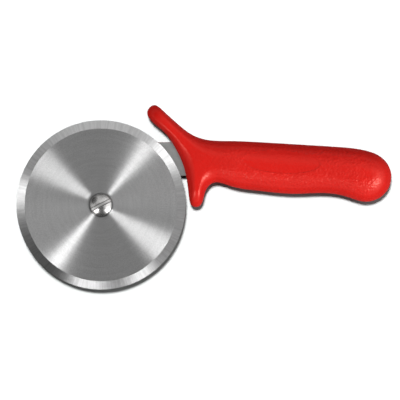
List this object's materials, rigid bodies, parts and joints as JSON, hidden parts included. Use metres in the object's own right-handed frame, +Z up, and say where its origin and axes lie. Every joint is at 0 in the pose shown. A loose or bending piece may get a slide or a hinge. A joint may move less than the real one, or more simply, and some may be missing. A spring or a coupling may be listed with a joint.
{
  "type": "pizza cutter wheel",
  "caption": "Hand-held pizza cutter: a bevelled steel wheel that spins on a slotted axle screw, carried by a cranked shank in a moulded handle with a thumb prong and a finger prong.",
  "frame": {"origin": "on the floor under the middle of the cutter's bounding box, with the cutter lying on its side", "axes": "+X along the handle from the wheel to the butt, +Z up along the wheel's axle towards the screw head, +Y towards the thumb prong's side"},
  "size_m": [0.225, 0.1107, 0.0256],
  "materials": {
    "wheel_steel": "ground stainless steel, ring grain on the face and radial grain on the bevel",
    "bushing_steel": "dark oiled steel, turned in rings",
    "screw_steel": "turned stainless steel",
    "fastener_steel": "plain stainless steel",
    "shank_steel": "rolled stainless steel, long grain",
    "handle_plastic": "red polypropylene with a fine moulded grain on the grip"
  },
  "bodies": {
    "handle": {"handle": "handle_plastic", "shank": "shank_steel", "axle_screw": "screw_steel", "thrust_washer": "fastener_steel", "lock_washer": "fastener_steel", "axle_nut": "fastener_steel"},
    "wheel": {"cutting_wheel": "wheel_steel", "wheel_bushing": "bushing_steel"}
  },
  "joints": [
    {"name": "wheel_spin", "type": "hinge", "parent": "handle", "child": "wheel", "pos_m": [-0.06173, -0.00455, 0.0158], "axis": [0, 0, 1], "continuous": true}
  ]
}
